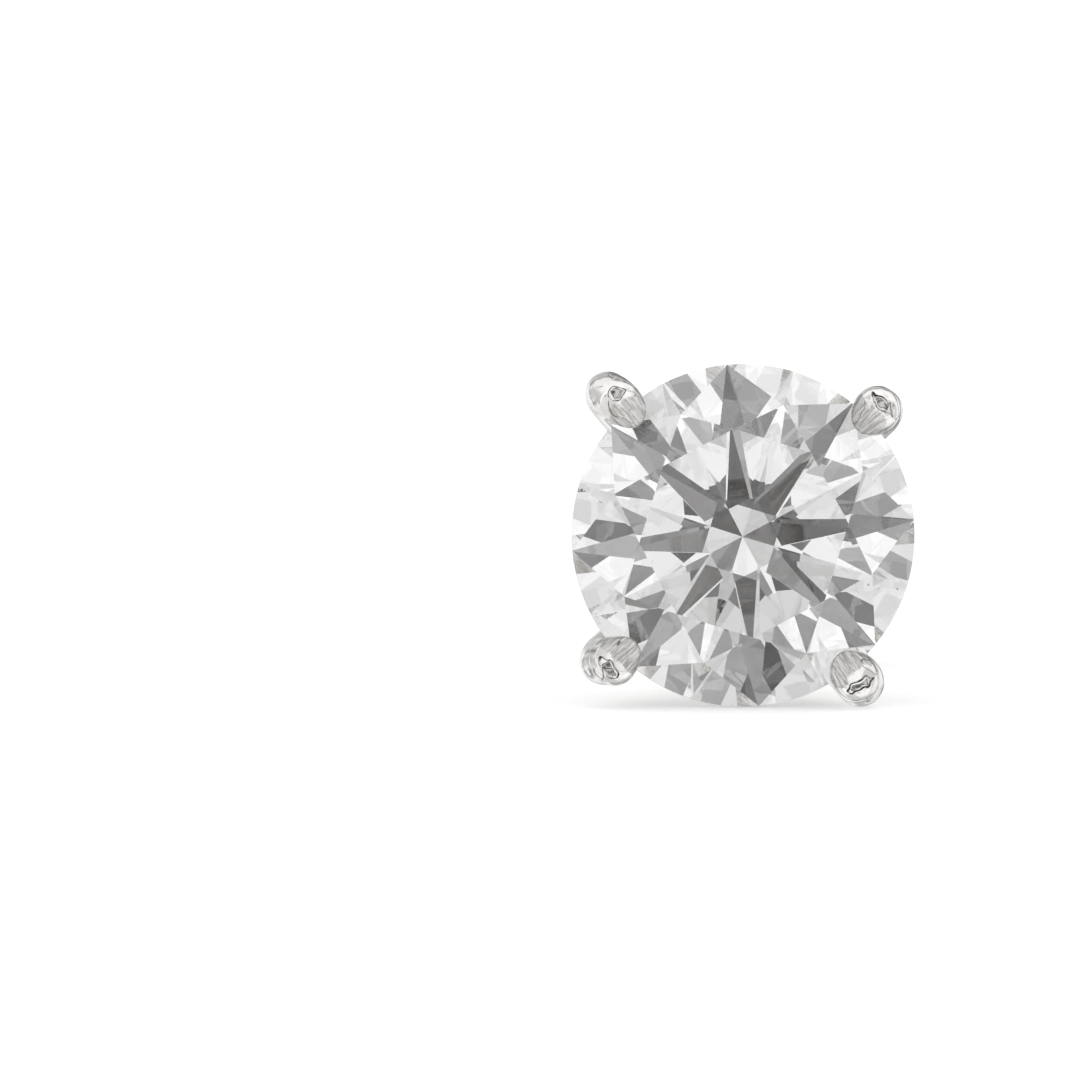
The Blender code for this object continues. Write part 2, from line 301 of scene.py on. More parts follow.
def claw_wire_tree():
    """Round wire bent along a path, flared at its foot and tapered to a round end."""
    tree, given = geometry_tree("claw wire", {
        "Width": "Float", "Bend": "Float", "Foot Flare": "Float", "Foot Length": "Float",
        "Taper": "Float", "Taper Length": "Float", "Step": "Float", "Sides": "Int", "Material": "Material",
    })
    path = add_node(tree, "GeometryNodeMeshToCurve", links={"Mesh": given["Geometry"]})
    bent = add_node(tree, "GeometryNodeFilletCurve", {"mode": "POLY"}, {
        "Curve": path.outputs[0], "Count": 12, "Radius": given["Bend"], "Limit Radius": True,
    })
    even = add_node(tree, "GeometryNodeResampleCurve", {"mode": "LENGTH"}, {
        "Curve": bent.outputs[0], "Length": given["Step"],
    })
    along = add_node(tree, "GeometryNodeSplineParameter").outputs["Length"]
    whole = add_node(tree, "GeometryNodeSplineLength").outputs["Length"]
    left = add_node(tree, "ShaderNodeMath", {"operation": "SUBTRACT"}, {0: whole, 1: along}).outputs[0]
    flared = add_node(tree, "ShaderNodeMath", links={0: given["Foot Flare"], 1: 1.0}).outputs[0]
    foot = add_node(tree, "ShaderNodeMapRange", {"interpolation_type": "SMOOTHSTEP"}, {
        "Value": along, "From Max": given["Foot Length"], "To Min": flared, "To Max": 1.0,
    }).outputs[0]
    tip = add_node(tree, "ShaderNodeMapRange", {"interpolation_type": "SMOOTHSTEP"}, {
        "Value": left, "From Max": given["Taper Length"], "To Min": given["Taper"], "To Max": 1.0,
    }).outputs[0]
    scale = add_node(tree, "ShaderNodeMath", {"operation": "MULTIPLY"}, {0: foot, 1: tip}).outputs[0]
    radius = add_node(tree, "ShaderNodeMath", {"operation": "MULTIPLY"}, {0: given["Width"], 1: 0.5}).outputs[0]
    section = add_node(tree, "GeometryNodeCurvePrimitiveCircle", links={
        "Resolution": given["Sides"], "Radius": radius,
    })
    wire = add_node(tree, "GeometryNodeCurveToMesh", links={
        "Curve": even.outputs[0], "Profile Curve": section.outputs[0], "Scale": scale, "Fill Caps": True,
    })
    ball_radius = add_node(tree, "ShaderNodeMath", {"operation": "MULTIPLY"}, {0: radius, 1: given["Taper"]})
    ball = add_node(tree, "GeometryNodeMeshUVSphere", links={
        "Segments": given["Sides"], "Rings": 24, "Radius": ball_radius.outputs[0],
    })
    end = add_node(tree, "GeometryNodeCurveEndpointSelection", links={"Start Size": 0, "End Size": 1})
    balls = add_node(tree, "GeometryNodeInstanceOnPoints", links={
        "Points": even.outputs[0], "Selection": end.outputs[0], "Instance": ball.outputs[0],
    })
    joined = add_node(tree, "GeometryNodeJoinGeometry")
    tree.links.new(wire.outputs[0], joined.inputs[0])
    tree.links.new(balls.outputs[0], joined.inputs[0])
    return close_tree(tree, joined.outputs[0], given["Material"])


def rail_tree():
    """A ring of round wire that thickens with solder where it comes near the claws."""
    tree, given = geometry_tree("soldered rail", {
        "Radius": "Float", "Depth": "Float", "Thickness": "Float", "Solder": "Float", "Solder Reach": "Float",
        "Steps": "Int", "Sides": "Int", "Material": "Material",
    })
    ring = add_node(tree, "GeometryNodeCurvePrimitiveCircle", links={
        "Resolution": given["Steps"], "Radius": given["Radius"],
    })
    sunk = add_node(tree, "ShaderNodeMath", {"operation": "MULTIPLY"}, {0: given["Depth"], 1: -1.0})
    place = add_node(tree, "ShaderNodeCombineXYZ", links={"Z": sunk.outputs[0]})
    placed = add_node(tree, "GeometryNodeTransform", links={
        "Geometry": ring.outputs[0], "Translation": place.outputs[0],
    })
    near = add_node(tree, "GeometryNodeProximity", {"target_element": "EDGES"}, {0: given["Geometry"]})
    most = add_node(tree, "ShaderNodeMath", links={0: given["Solder"], 1: 1.0}).outputs[0]
    scale = add_node(tree, "ShaderNodeMapRange", {"interpolation_type": "SMOOTHSTEP"}, {
        "Value": near.outputs["Distance"], "From Max": given["Solder Reach"], "To Min": most, "To Max": 1.0,
    }).outputs[0]
    radius = add_node(tree, "ShaderNodeMath", {"operation": "MULTIPLY"}, {0: given["Thickness"], 1: 0.5})
    section = add_node(tree, "GeometryNodeCurvePrimitiveCircle", links={
        "Resolution": given["Sides"], "Radius": radius.outputs[0],
    })
    wire = add_node(tree, "GeometryNodeCurveToMesh", links={
        "Curve": placed.outputs[0], "Profile Curve": section.outputs[0], "Scale": scale,
    })
    return close_tree(tree, wire.outputs[0], given["Material"])


def rolled_strip_tree():
    """A strip with rounded edges, rolled into an open loop about Z."""
    tree, given = geometry_tree("rolled strip", {
        "Radius": "Float", "Thickness": "Float", "Width": "Float", "Edge": "Float", "From": "Float",
        "Sweep": "Float", "Steps": "Int", "Material": "Material",
    })
    loop = add_node(tree, "GeometryNodeCurveArc", {"mode": "RADIUS"}, {
        "Resolution": given["Steps"], "Radius": given["Radius"],
        "Start Angle": given["From"], "Sweep Angle": given["Sweep"],
    })
    section = add_node(tree, "GeometryNodeCurvePrimitiveQuadrilateral", links={
        "Width": given["Thickness"], "Height": given["Width"],
    })
    rounded = add_node(tree, "GeometryNodeFilletCurve", {"mode": "POLY"}, {
        "Curve": section.outputs[0], "Count": 5, "Radius": given["Edge"], "Limit Radius": True,
    })
    strip = add_node(tree, "GeometryNodeCurveToMesh", links={
        "Curve": loop.outputs[0], "Profile Curve": rounded.outputs[0], "Fill Caps": True,
    })
    return close_tree(tree, strip.outputs[0], given["Material"])


# The setting

def around(degrees, radius, height):
    """The point at that turn and radius about the stud's axis."""
    turn = math.radians(degrees)
    return Vector((radius * math.cos(turn), radius * math.sin(turn), height))


def claw_foot():
    """Where the middle of each claw's wire starts in the base: radius and depth."""
    return BASE_RADIUS - CLAW_WIDTH / 2, BASE_BACK - BASE_THICKNESS / 2


def claw_path(row):
    """The middle of a claw's wire: in the base, out at the girdle and at its end."""
    foot_radius, foot_depth = claw_foot()
    rise = CLAW_RISE - row["width"] * CLAW_WIDTH / 2
    foot = around(row["turn"], foot_radius, -foot_depth)
    bow = around(row["turn"], row["bow"] * STONE_RADIUS, -GIRDLE_THICKNESS / 2)
    return [foot, bow, around(row["turn"] + row["swing"], row["tip"] * STONE_RADIUS, rise)]


def rail_place():
    """Radius and depth of the rail, on the middle line from the base to the girdle."""
    foot_radius, foot_depth = claw_foot()
    bow_radius = sum(row["bow"] for row in CLAWS.values()) / len(CLAWS) * STONE_RADIUS
    radius = foot_radius + (bow_radius - foot_radius) * RAIL_SHARE
    depth = foot_depth + (GIRDLE_THICKNESS / 2 - foot_depth) * RAIL_SHARE
    return radius, depth


def base_profile():
    """The base and the solder round the foot of the post, as radius and height."""
    inner = BASE_RADIUS - BASE_EDGE
    root = POST_RADIUS + 0.012
    return [
        (0, -BASE_FRONT),
        *arc((inner, -BASE_FRONT - BASE_EDGE), BASE_EDGE, 90, 0, 5),
        *arc((inner, -BASE_BACK + BASE_EDGE), BASE_EDGE, 0, -90, 5),
        *arc((root + POST_FILLET, -BASE_BACK - POST_FILLET), POST_FILLET, 90, 180, 8),
        (0, -BASE_BACK - POST_FILLET),
    ]


def post_profile(end):
    return [
        (0, -BASE_BACK + BASE_THICKNESS / 2), (POST_RADIUS, -BASE_BACK + BASE_THICKNESS / 2),
        *arc((0, end + POST_RADIUS), POST_RADIUS, 0, -90, 12)[:-1],
        (0, end),
    ]


def stone_seat():
    """The space that the stone takes out of the claws: the stone itself, a little larger."""
    mesh = frame["nodes"]["stone"].data.copy()
    mesh.name = "stone_seat"
    mesh.transform(Matrix.Scale(1 + STONE_CLEARANCE / STONE_RADIUS, 4) @ TO_STUD)
    return welded(mesh, 0.0001)


def claw_ends():
    """Each claw's end: its middle, the outward direction, the toe, the mark and the flats."""
    ends = []
    for row in CLAWS.values():
        foot, bow, tip = claw_path(row)
        turn = row["turn"] + row["swing"]
        radius = row["width"] * row["taper"] * CLAW_WIDTH / 2
        flats = []
        for azimuth, lean, depth in row["flats"]:
            lean = math.radians(lean)
            flats.append((around(turn + azimuth, math.sin(lean), math.cos(lean)), radius - depth))
        azimuth, length, width = row["mark"]
        mark = (around(turn + azimuth, 1.0, 0.0), length, width, radius - MARK_DEPTH)
        ends.append((tip, around(turn, 1.0, 0.0), row["toe"], mark, flats))
    return ends


def pressed(offset, mark):
    """How deep the leaf-shaped mark lies at a point that is given from the middle of the claw's end, and how
    near its outline the point is, where 1 is on it."""
    across, length, width, height = mark
    over = offset.z - height
    if over < -MARK_REACH:
        return 0.0, 0.0
    place = offset + noise.noise_vector(offset / MARK_GRAIN + across * 5) * MARK_WARP
    along = place.dot(across.cross(Vector((0, 0, 1))))
    inside = width * (1 - (along / length) ** 2) - abs(place.dot(across) - MARK_OUT)
    depth = max(0.0, over) * MARK_CUT * min(1.0, max(0.0, inside / MARK_EDGE))
    return depth, max(0.0, 1 - abs(inside) / MARK_LINE)


def worked_tips(mesh):
    """The claw ends as the setter leaves them: drawn out over the stone, dented, creased and filed flat."""
    shape = bmesh.new()
    shape.from_mesh(mesh)
    tips = [face for face in shape.faces if face.calc_center_median().z > TIP_FROM]
    edges = list({edge for face in tips for edge in face.edges})
    bmesh.ops.subdivide_edges(shape, edges=edges, cuts=1, use_grid_fill=True)
    bmesh.ops.triangulate(shape, faces=[face for face in shape.faces if len(face.verts) > 4])
    shape.normal_update()
    # The "mark" layer keeps how near each point lies to the tool mark's outline; the claw metal draws a line of
    # painted shade there.
    outline = shape.verts.layers.float.new("mark")
    ends = claw_ends()
    worked = [vert for vert in shape.verts if vert.co.z > TIP_FROM]
    normals = [vert.normal.copy() for vert in worked]
    for vert, normal in zip(worked, normals):
        tip, outward, toe, mark, flats = min(ends, key=lambda end: (end[0] - vert.co).length)
        share = min(1.0, (vert.co.z - TIP_FROM) / TIP_FADE)
        dent = noise.noise(vert.co / DENT_SIZE + Vector((3.1, 0, 0))) * DENT_DEPTH
        crease = (0.35 - abs(noise.noise(vert.co / CREASE_SIZE + Vector((0, 7.7, 0))))) * CREASE_DEPTH
        place = vert.co + normal * (dent + crease) * share
        past = (tip - place).dot(outward)
        drawn = min(1.0, max(0.0, (place.z - TOE_FROM) / TOE_FADE))
        if past > 0:
            place -= outward * past * (toe - 1) * drawn
        if (tip - vert.co).length < NEAR_TIP:
            depth, vert[outline] = pressed(place - tip, mark)
            place.z -= depth
            for direction, height in flats:
                over = (place - tip).dot(direction) - height
                if over > 0:
                    place -= direction * over * FLAT_CUT
        vert.co = place
    bmesh.ops.smooth_vert(shape, verts=worked, factor=0.3, use_axis_x=True, use_axis_y=True, use_axis_z=True)
    shape.to_mesh(mesh)
    shape.free()
    return mesh


def setting_piece(material):
    """Four claws, a rail and a base, run together with solder, with the post, cut out for the stone."""
    wire = claw_wire_tree()
    paths = {name: claw_path(row) for name, row in CLAWS.items()}
    parts = []
    for name, row in CLAWS.items():
        parts.append(grow(name + "_claw", wire, {
            "Width": row["width"] * CLAW_WIDTH, "Bend": CLAW_BEND, "Foot Flare": 0.12, "Foot Length": 1.4,
            "Taper": row["taper"], "Taper Length": 1.3, "Step": 0.05, "Sides": 48, "Material": material,
        }, path_mesh(name, [paths[name]])))
    radius, depth = rail_place()
    parts.append(grow("rail", rail_tree(), {
        "Radius": radius, "Depth": depth, "Thickness": RAIL_THICKNESS, "Solder": 0.25, "Solder Reach": 0.9,
        "Steps": 180, "Sides": 40, "Material": material,
    }, path_mesh("claw_paths", list(paths.values()))))
    parts.append(turned_mesh("base", base_profile(), 96))

    cast = bmesh.new()
    for part in parts:
        cast.from_mesh(part)
    mesh = bpy.data.meshes.new("cast")
    cast.to_mesh(mesh)
    cast.free()
    mesh = modified("prong_setting", mesh, [
        ("REMESH", {"mode": "VOXEL", "voxel_size": CAST_STEP}),
        ("SMOOTH", {"factor": 0.5, "iterations": 8}),
    ])
    mesh = worked_tips(mesh)
    low, high = local_box("prong_setting")
    post = turned_mesh("post", post_profile(low.z), 64)
    mesh = combined("prong_setting", mesh, [("UNION", post), ("DIFFERENCE", stone_seat())])
    return finished("setting", mesh, material, "prong_setting")


# The friction back

def back_piece(material):
    low, high = local_box("friction_back")
    width = high.x - low.x
    height = high.y - low.y
    curve = bpy.data.curves.new("plate", "CURVE")
    curve.dimensions = "2D"
    curve.fill_mode = "BOTH"
    curve.extrude = PLATE_THICKNESS / 2 - PLATE_EDGE
    curve.bevel_depth = PLATE_EDGE
    curve.bevel_resolution = 3
    curve.offset = -PLATE_EDGE
    outline = []
    for quarter, (across, up) in enumerate(((1, 1), (-1, 1), (-1, -1), (1, -1))):
        middle = (across * (width / 2 - PLATE_CORNER), up * (height / 2 - PLATE_CORNER))
        outline += arc(middle, PLATE_CORNER, 90 * quarter, 90 * quarter + 90, 16)
    for points in (outline, arc((0, 0), POST_RADIUS + POST_CLEARANCE, 0, 360, 48)[:-1]):
        spline = curve.splines.new("POLY")
        spline.points.add(len(points) - 1)
        spline.use_cyclic_u = True
        for target, (across, up) in zip(spline.points, points):
            target.co = (across, up, 0.0, 1.0)
    item = add_object("plate", curve)
    plate = welded(evaluated_mesh(item), 0.0001)
    bpy.data.objects.remove(item, do_unlink=True)
    plate.transform(Matrix.Translation((0, 0, -(PLATE_FRONT + PLATE_THICKNESS / 2))))

    near = POST_RADIUS + POST_CLEARANCE
    outer = (width / 2 - near) / 2
    strip = rolled_strip_tree()
    rolls = []
    for name, side in (("right_roll", 1), ("left_roll", -1)):
        roll = grow(name, strip, {
            "Radius": outer - STRIP_THICKNESS / 2, "Thickness": STRIP_THICKNESS, "Width": STRIP_WIDTH,
            "Edge": STRIP_EDGE, "From": math.radians(ROLL_FROM), "Sweep": math.radians(ROLL_TO - ROLL_FROM),
            "Steps": 96, "Material": material,
        })
        roll.transform(Matrix.Scale(side, 4, (1, 0, 0)))
        roll.transform(Matrix.Rotation(math.radians(-90), 4, "X"))
        depth = PLATE_FRONT + PLATE_THICKNESS - STRIP_SINK + outer
        roll.transform(Matrix.Translation((side * (near + outer), 0, -depth)))
        rolls.append(("UNION", welded(roll, 0.0001)))
    mesh = combined("friction_back", plate, rolls)
    return finished("clutch", mesh, material, "friction_back")


def finished(name, mesh, material, node):
    """Puts a mesh from the stud's frame in its place, as the piece that stands for a CAD node."""
    mesh.transform(STUD)
    mesh.shade_smooth()
    mesh.set_sharp_from_angle(angle=math.radians(40))
    mesh.materials.clear()
    mesh.materials.append(material)
    item = add_object(name, mesh)
    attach(item, "root")
    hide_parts(node)
    return item


# Materials

def new_material(name):
    material = bpy.data.materials.new(name)
    material.use_nodes = True
    material.node_tree.nodes.clear()
    return material, material.node_tree


def stud_place(tree):
    """A surface point in the stud's own frame, in millimetres, and its distance from the stud's axis."""
    place = add_node(tree, "ShaderNodeTexCoord").outputs["Object"]
    turn = TO_STUD.to_euler()
    turned = add_node(tree, "ShaderNodeMapping", {"vector_type": "POINT"}, {
        "Vector": place, "Location": TO_STUD.translation, "Rotation": turn, "Scale": TO_STUD.to_scale(),
    }).outputs[0]
    parts = add_node(tree, "ShaderNodeSeparateXYZ", links={0: turned}).outputs
    flat = add_node(tree, "ShaderNodeCombineXYZ", links={"X": parts["X"], "Y": parts["Y"]}).outputs[0]
    radius = add_node(tree, "ShaderNodeVectorMath", {"operation": "LENGTH"}, {0: flat}).outputs["Value"]
    return turned, parts, radius


def smooth_range(tree, value, low, high, first=0.0, last=1.0):
    return add_node(tree, "ShaderNodeMapRange", {"interpolation_type": "SMOOTHSTEP"}, {
        "Value": value, "From Min": low, "From Max": high, "To Min": first, "To Max": last,
    }).outputs["Result"]


def times(tree, first, second):
    return add_node(tree, "ShaderNodeMath", {"operation": "MULTIPLY"}, {0: first, 1: second}).outputs[0]


def clear_stone_material():
    """Diamond, cut and polished to flat facets, with a bruted girdle. The facets are mirror smooth, so the
    stone shows crisp patches of the tent, and the ground girdle is a thin white line. A few pinpoints of
    dust and one or two brown specks lie on it."""
    material, tree = new_material("polished diamond")
    place, parts, radius = stud_place(tree)
    ground = smooth_range(tree, radius, STONE_RADIUS * 0.9985, STONE_RADIUS * 0.9993)
    rough = times(tree, ground, 0.4)
    cells = add_node(tree, "ShaderNodeTexVoronoi", {"feature": "F1"}, {
        "Vector": place, "Scale": 1.2, "Randomness": 1.0}).outputs
    chosen = add_node(tree, "ShaderNodeSeparateXYZ", links={0: cells["Color"]}).outputs
    dust = times(tree, smooth_range(tree, chosen[0], 0.6, 0.62), smooth_range(tree, cells["Distance"], 0.02, 0.035, 1.0, 0.0))
    dust = times(tree, dust, smooth_range(tree, parts["Z"], 0.15, 0.2))
    colour = add_node(tree, "ShaderNodeMix", {"data_type": "RGBA"}, {
        "Factor": dust, 6: (1, 1, 1, 1), 7: linear("#6b5a4c"),
    }).outputs[2]
    shader = add_node(tree, "ShaderNodeBsdfPrincipled", links={
        "Base Color": colour, "Roughness": rough, "IOR": 2.417, "Transmission Weight": 1.0,
    })
    add_node(tree, "ShaderNodeOutputMaterial", links={"Surface": shader.outputs["BSDF"]})
    return material


def claw_metal_material():
    """White gold, cast, filed and polished by hand. It is a soft mirror with a faint warmth. The inner half of
    each claw end keeps fine file lines that run out from the stone, and grey polish stays in its pits. Towards the
    back of the setting it is a darker grey. Thin dark lines of painted shade run along small folds and round the
    edges of the tool marks."""
    material, tree = new_material("hand polished white gold")
    place, parts, radius = stud_place(tree)
    turn = add_node(tree, "ShaderNodeMath", {"operation": "ARCTAN2"}, {0: parts["Y"], 1: parts["X"]}).outputs[0]
    round_girdle = times(tree, turn, STONE_RADIUS)
    swept = add_node(tree, "ShaderNodeCombineXYZ", links={
        "X": times(tree, round_girdle, 24.0), "Y": times(tree, radius, 2.5), "Z": times(tree, parts["Z"], 2.5),
    }).outputs[0]
    lines = add_node(tree, "ShaderNodeTexNoise", links={"Vector": swept, "Scale": 1.0, "Detail": 5.0,
                                                        "Roughness": 0.7}).outputs["Fac"]
    front = smooth_range(tree, parts["Z"], 0.1, 0.4)
    ragged = add_node(tree, "ShaderNodeTexNoise", links={"Vector": place, "Scale": 4.0, "Detail": 3.0}).outputs["Fac"]
    edge = add_node(tree, "ShaderNodeMath", {"operation": "MULTIPLY_ADD"}, {0: ragged, 1: 0.5, 2: radius}).outputs[0]
    inner = times(tree, front, smooth_range(tree, edge, STONE_RADIUS + 0.38, STONE_RADIUS + 0.46, 1.0, 0.0))
    wear = add_node(tree, "ShaderNodeTexNoise", links={"Vector": place, "Scale": 2.2, "Detail": 4.0,
                                                       "Roughness": 0.55}).outputs["Fac"]
    pits = add_node(tree, "ShaderNodeTexVoronoi", {"feature": "F1"}, {
        "Vector": place, "Scale": 5.0, "Randomness": 1.0}).outputs["Distance"]
    pit = smooth_range(tree, pits, 0.06, 0.12, 1.0, 0.0)
    colour = add_node(tree, "ShaderNodeMix", {"data_type": "RGBA"}, {
        "Factor": smooth_range(tree, wear, 0.42, 0.7), 6: linear("#f6f5f4"), 7: linear("#e4e2df"),
    }).outputs[2]
    # The metal is coloured darker grey towards the back of the setting, behind the stone.
    cast = smooth_range(tree, parts["Z"], -1.3, -0.5, 0.75, 0.0)
    colour = add_node(tree, "ShaderNodeMix", {"data_type": "RGBA"}, {
        "Factor": cast, 6: colour, 7: linear("#cbc8c3"),
    }).outputs[2]
    colour = add_node(tree, "ShaderNodeMix", {"data_type": "RGBA"}, {
        "Factor": times(tree, pit, 0.7), 6: colour, 7: linear("#5b5551"),
    }).outputs[2]
    colour = add_node(tree, "ShaderNodeMix", {"data_type": "RGBA"}, {
        "Factor": times(tree, inner, smooth_range(tree, lines, 0.4, 0.6, 0.35, 1.0)),
        6: colour, 7: linear("#a9a8a5"),
    }).outputs[2]
    polish = smooth_range(tree, wear, 0.35, 0.7, 0.04, 0.1)
    rough = add_node(tree, "ShaderNodeMath", links={0: polish, 1: times(tree, inner, 0.12)}).outputs[0]
    filed = add_node(tree, "ShaderNodeBump", links={
        "Strength": times(tree, inner, 0.6), "Distance": 0.004 * MM, "Height": lines}).outputs[0]
    # Thin folds cross the front of each claw: the bump below dents them, and their colour is darkened to #3c3937 as
    # painted shade in the crease.
    folds = add_node(tree, "ShaderNodeTexNoise", links={"Vector": place, "Scale": 1.1, "Detail": 1.5,
                                                        "Distortion": 0.2}).outputs["Fac"]
    from_fold = add_node(tree, "ShaderNodeMath", {"operation": "ABSOLUTE"}, {
        0: add_node(tree, "ShaderNodeMath", {"operation": "SUBTRACT"}, {0: folds, 1: 0.5}).outputs[0],
    }).outputs[0]
    deep = times(tree, front, smooth_range(tree, wear, 0.47, 0.56))
    fold_dent_and_shade = times(tree, deep, smooth_range(tree, from_fold, 0.002, 0.008, 1.0, 0.0))
    colour = add_node(tree, "ShaderNodeMix", {"data_type": "RGBA"}, {
        "Factor": times(tree, fold_dent_and_shade, 0.7), 6: colour, 7: linear("#3c3937"),
    }).outputs[2]
    # Painted shade: a near-black line is drawn along the outline of each tool mark, read from the "mark" layer.
    outline = add_node(tree, "ShaderNodeAttribute", {"attribute_name": "mark"}).outputs["Fac"]
    colour = add_node(tree, "ShaderNodeMix", {"data_type": "RGBA"}, {
        "Factor": times(tree, smooth_range(tree, outline, 0.1, 0.7), smooth_range(tree, ragged, 0.3, 0.55, 0.25, 1.0)),
        6: colour, 7: linear("#1f1d1c"),
    }).outputs[2]
    worn = add_node(tree, "ShaderNodeMath", {"operation": "MAXIMUM"}, {0: pit, 1: fold_dent_and_shade}).outputs[0]
    dented = add_node(tree, "ShaderNodeBump", {"invert": True}, {
        "Strength": 0.6, "Distance": 0.01 * MM, "Height": worn, "Normal": filed}).outputs[0]
    shader = add_node(tree, "ShaderNodeBsdfPrincipled", links={
        "Base Color": colour, "Roughness": rough, "Metallic": 1.0, "Normal": dented,
    })
    add_node(tree, "ShaderNodeOutputMaterial", links={"Surface": shader.outputs["BSDF"]})
    return material


def back_metal_material():
    """White gold strip, rolled, stamped and barrel polished. It is a slightly softer mirror than the claws,
    with rolling lines along the strip and a few fine scratches."""
    material, tree = new_material("stamped white gold")
    place, parts, radius = stud_place(tree)
    drawn = add_node(tree, "ShaderNodeVectorMath", {"operation": "MULTIPLY"}, {0: place, 1: (0.8, 16.0, 0.8)})
    lines = add_node(tree, "ShaderNodeTexNoise", links={"Vector": drawn.outputs[0], "Scale": 1.0,
                                                        "Detail": 4.0}).outputs["Fac"]
    wear = add_node(tree, "ShaderNodeTexNoise", links={"Vector": place, "Scale": 1.5, "Detail": 5.0}).outputs["Fac"]
    colour = add_node(tree, "ShaderNodeMix", {"data_type": "RGBA"}, {
        "Factor": smooth_range(tree, wear, 0.4, 0.7), 6: linear("#ebe9e4"), 7: linear("#dad6ce"),
    }).outputs[2]
    bump = add_node(tree, "ShaderNodeBump", links={"Strength": 0.35, "Distance": 0.002 * MM, "Height": lines})
    shader = add_node(tree, "ShaderNodeBsdfPrincipled", links={
        "Base Color": colour, "Roughness": smooth_range(tree, wear, 0.35, 0.7, 0.1, 0.2), "Metallic": 1.0,
        "Normal": bump.outputs[0],
    })
    add_node(tree, "ShaderNodeOutputMaterial", links={"Surface": shader.outputs["BSDF"]})
    return material


# The studio

def floor():
    mesh = bpy.data.meshes.new("floor")
    build = bmesh.new()
    bmesh.ops.create_grid(build, x_segments=1, y_segments=1, size=2.0)
    build.to_mesh(mesh)
    build.free()
    item = add_object("floor", mesh)
    material, tree = new_material("white card")
    shader = add_node(tree, "ShaderNodeBsdfPrincipled", links={
        "Base Color": (0.7, 0.7, 0.7, 1), "Roughness": 0.9, "Specular IOR Level": 0.0,
        "Emission Color": (1, 1, 1, 1), "Emission Strength": 0.5,
    })
    add_node(tree, "ShaderNodeOutputMaterial", links={"Surface": shader.outputs["BSDF"]})
    mesh.materials.append(material)
    item.visible_glossy = False
    item.visible_transmission = False


def camera():
    """The camera of the photograph. It looks level with the picture, and the stone is right of its middle."""
    turn = STUD.to_3x3().normalized()
    metres_per_pixel = 2 * STONE_RADIUS * MM / STONE_WIDTH_IN_PHOTO
    sight = Matrix.Rotation(FACE_RIGHT_OF_SIGHT, 3, "Y") @ Matrix.Rotation(-FACE_ABOVE_SIGHT, 3, "X")
    axes = turn @ sight.transposed()
    across = (PHOTO_SIDE / 2 - STONE_IN_PHOTO[0]) * metres_per_pixel
    up = (STONE_IN_PHOTO[1] - PHOTO_SIDE / 2) * metres_per_pixel
    place = STUD.translation + axes @ Vector((across, up, CAMERA_DISTANCE))
    data = bpy.data.cameras.new("camera")
    data.sensor_width = SENSOR_WIDTH
    data.lens = SENSOR_WIDTH * CAMERA_DISTANCE / (PHOTO_SIDE * metres_per_pixel)
    data.clip_start = 0.01
    data.clip_end = 5.0
    item = bpy.data.objects.new("camera", data)
    bpy.context.scene.collection.objects.link(item)
    item.matrix_world = Matrix.Translation(place) @ axes.to_4x4()
    bpy.context.scene.camera = item
    return axes


# The tent's cards and lights, as the stone sees them. The turn is in degrees round the sight line from the
# picture's right, off is how far from the sight line and radius how wide, in degrees. The level is how much
# light a card adds or takes away, and the tint is its colour.
TENT_FRONT = 0.76
TENT_BACK = 0.95
TENT_EDGE = 96
METAL_FRONT = 1.0
METAL_BACK = 0.88
SEAM = 132
LENS_FIGURE = 17
LENS_HOLE = 22
LENS_GLASS = 18.5
CARDS = {
    "top_light": {"turn": 94, "off": 34, "radius": 20, "level": 0.45, "tint": "#ffffff"},
    "left_light": {"turn": 162, "off": 32, "radius": 15, "level": 0.25, "tint": "#ffffff"},
    "right_light": {"turn": 23, "off": 24, "radius": 10, "level": 0.5, "tint": "#ffffff"},
    "low_light": {"turn": 277, "off": 45, "radius": 10, "level": 0.15, "tint": "#ffffff"},
    "low_right_light": {"turn": 7, "off": 45, "radius": 10, "level": 0.15, "tint": "#ffffff"},
    "left_flag": {"turn": 184, "off": 48, "radius": 12, "level": -0.55, "tint": "#ffffff"},
    "lower_right_flag": {"turn": 318, "off": 52, "radius": 12, "level": -0.65, "tint": "#ffffff"},
    "low_flag": {"turn": 272, "off": 74, "radius": 18, "level": -0.5, "tint": "#ffffff"},
    "upper_right_flag": {"turn": 50, "off": 46, "radius": 7, "level": -0.45, "tint": "#ffffff"},
    "warm_flag": {"turn": 345, "off": 80, "radius": 12, "level": -0.25, "tint": "#c8d2e0"},
}


